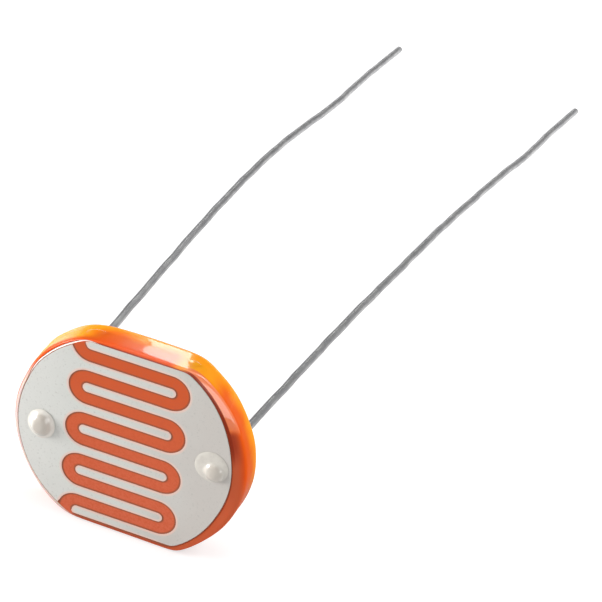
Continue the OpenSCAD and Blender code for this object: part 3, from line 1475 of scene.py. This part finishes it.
@dataclass
class Studio:
    """Floor, lights, surroundings and camera."""

    camera_place: tuple[float, float, float] = (0.03431, -0.090905, 0.07909)
    camera_right: tuple[float, float, float] = (0.9258, 0.3591, 0.1179)
    camera_up: tuple[float, float, float] = (-0.2938, 0.4875, 0.8222)
    camera_back: tuple[float, float, float] = (0.2377, -0.7959, 0.5568)
    lens: float = 155.5
    sensor: float = 36.0
    ambient: float = 0.33
    floor_size: float = 0.42
    floor_drop: float = 0.00003
    floor_level: float = 0.5
    floor_glow: float = 0.6
    flag_place: tuple[float, float, float] = (0.0, 0.5, 0.27)
    flag_size: tuple[float, float, float] = (1.1, 1.0, 0.5)
    flag_level: float = 0.15
    lights: list[Softbox] = field(
        default_factory=lambda: [
            Softbox("left_key", (-0.22, -0.066, 0.06), 0.14, 0.12, 0.8),
            Softbox("top_box", (0.0, 0.05, 0.30), 0.2, 0.2, 0.24),
            Softbox("back_box", (-0.08, 0.3, 0.173), 0.04, 0.08, 0.067),
            Softbox("right_back", (0.2, 0.12, 0.28), 0.14, 0.14, 0.5),
            Softbox("right_fill", (0.28, -0.19, 0.11), 0.14, 0.22, 0.4),
            Softbox("rear_fill", (0.0, 0.45, 0.06), 0.16, 0.1, 0.55, mirrored=False),
        ]
    )

    def build(self) -> None:
        """Set up the whole studio."""
        self._floor()
        self._flag()
        self._surroundings()
        for light in self.lights:
            light.build()
        self._camera()
        bpy.context.scene.view_settings.view_transform = "Standard"

    @staticmethod
    def _seen(tree: bpy.types.NodeTree) -> Socket:
        """Tell rays that show the background from the light's own.

        Args:
            tree: The nodes of the world or a material.

        Returns:
            1 for rays from the camera, a mirror or glass, and 0 for others.
        """
        path = tree.nodes.new("ShaderNodeLightPath")
        seen = path.outputs["Is Camera Ray"]
        for ray in ("Is Glossy Ray", "Is Transmission Ray"):
            either = tree.nodes.new("ShaderNodeMath")
            either.operation = "MAXIMUM"
            tree.links.new(seen, either.inputs[0])
            tree.links.new(path.outputs[ray], either.inputs[1])
            seen = either.outputs[0]
        return seen

    @staticmethod
    def _matt(name: str, level: float) -> NodeSheet:
        """Start a matt grey material.

        Args:
            name: Its name.
            level: How light it is.

        Returns:
            Its nodes.
        """
        sheet = NodeSheet(name)
        sheet.set(Base_Color=(level, level, level, 1.0), Roughness=0.9, Specular_IOR_Level=0.0)
        return sheet

    def _floor(self) -> None:
        """Lay a pale floor that keeps the object's shadow."""
        Bench.clear()
        bpy.ops.mesh.primitive_plane_add(size=self.floor_size, location=(0, 0, -self.floor_drop))
        floor = bpy.context.active_object
        floor.name = "floor"
        sheet = self._matt("pale_floor", self.floor_level)
        glow = sheet.add("ShaderNodeEmission")
        sheet.put(glow.inputs["Strength"], sheet.product(self._seen(sheet.tree), self.floor_glow))
        both = sheet.add("ShaderNodeAddShader")
        sheet.join(sheet.shader.outputs[0], both.inputs[0])
        sheet.join(glow.outputs[0], both.inputs[1])
        sheet.join(both.outputs[0], sheet.output.inputs["Surface"])
        floor.data.materials.append(sheet.material)

    def _flag(self) -> None:
        """Stand a dark card far behind, which shows in the gloss of the wires alone."""
        Bench.clear()
        bpy.ops.mesh.primitive_plane_add(size=1.0, location=self.flag_place, rotation=(math.pi / 2, 0, 0))
        bpy.ops.transform.resize(value=self.flag_size)
        bpy.ops.object.transform_apply(location=True, rotation=True, scale=True)
        flag = bpy.context.active_object
        flag.name = "flag"
        flag.data.materials.append(self._matt("dark_card", self.flag_level).material)
        flag.visible_camera = False

    def _surroundings(self) -> None:
        """Surround the object with white that is seen, and a plain level of light."""
        world = bpy.data.worlds.new("white_tent")
        world.use_nodes = True
        tree = world.node_tree
        background = tree.nodes["Background"]
        background.inputs["Color"].default_value = (1.0, 1.0, 1.0, 1.0)
        level = tree.nodes.new("ShaderNodeMapRange")
        level.inputs["To Min"].default_value = self.ambient
        level.inputs["To Max"].default_value = 1.0
        tree.links.new(self._seen(tree), level.inputs["Value"])
        tree.links.new(level.outputs[0], background.inputs["Strength"])
        bpy.context.scene.world = world

    def _camera(self) -> None:
        """Stand the camera where the photograph was taken from."""
        data = bpy.data.cameras.new("camera")
        data.lens = self.lens
        data.sensor_width = self.sensor
        data.clip_start = MM
        camera = bpy.data.objects.new("camera", data)
        bpy.context.scene.collection.objects.link(camera)
        axes = Matrix((self.camera_right, self.camera_up, self.camera_back)).transposed()
        camera.matrix_world = Matrix.Translation(self.camera_place) @ axes.to_4x4()
        bpy.context.scene.camera = camera


def main() -> None:
    """Build the photoresistor and its studio."""
    logging.basicConfig(level=logging.INFO, format="%(name)s: %(message)s")
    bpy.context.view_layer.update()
    PrintedDisc().build()
    PasteContact(
        "bead_left",
        "contact_left",
        x=-4.33,
        z=4.92,
        profile=(
            (0.87, 0.0), (0.82, 0.045), (0.75, 0.08), (0.67, 0.125), (0.6, 0.19),
            (0.52, 0.28), (0.41, 0.35), (0.28, 0.395), (0.13, 0.415),
        ),
        stretch=(0.86, 1.0),
    ).build(PasteFinish(core_x=-4.33).material())
    PasteContact(
        "bead_right",
        "contact_right",
        x=4.29,
        z=5.68,
        profile=(
            (0.9, 0.0), (0.84, 0.02), (0.76, 0.045), (0.67, 0.065), (0.55, 0.08),
            (0.48, 0.13), (0.4, 0.21), (0.29, 0.27), (0.16, 0.305), (0.07, 0.31),
        ),
        slide_after=4,
        slide=(0.16, -0.22),
    # The right bead's paste is painted darker, as painted shade on the right of the face
    ).build(PasteFinish(pad=srgb(205, 200, 190), cloud=srgb(196, 190, 181), core_x=4.45).material())
    wire = WireFinish().material()
    WireLead(
        Side.LEFT,
        root_angle=0.0,
        middle=13.0,
        sag_r=93.0,
        tip=21.0,
        swing=2.0,
        kinks=(Kink(19.0, 0.1, 9.0), Kink(40.0, 0.18, 4.5)),
    ).build(wire)
    WireLead(
        Side.RIGHT,
        root_angle=5.4,
        middle=13.0,
        sag_r=240.0,
        tip=20.38,
        swing=34.0,
        kinks=(Kink(23.0, 0.12, 6.0), Kink(43.0, 0.13, 2.6)),
    ).build(wire)
    DippedCoat().build(ResinFinish().material())
    Studio().build()


if __name__ == "__main__":
    main()
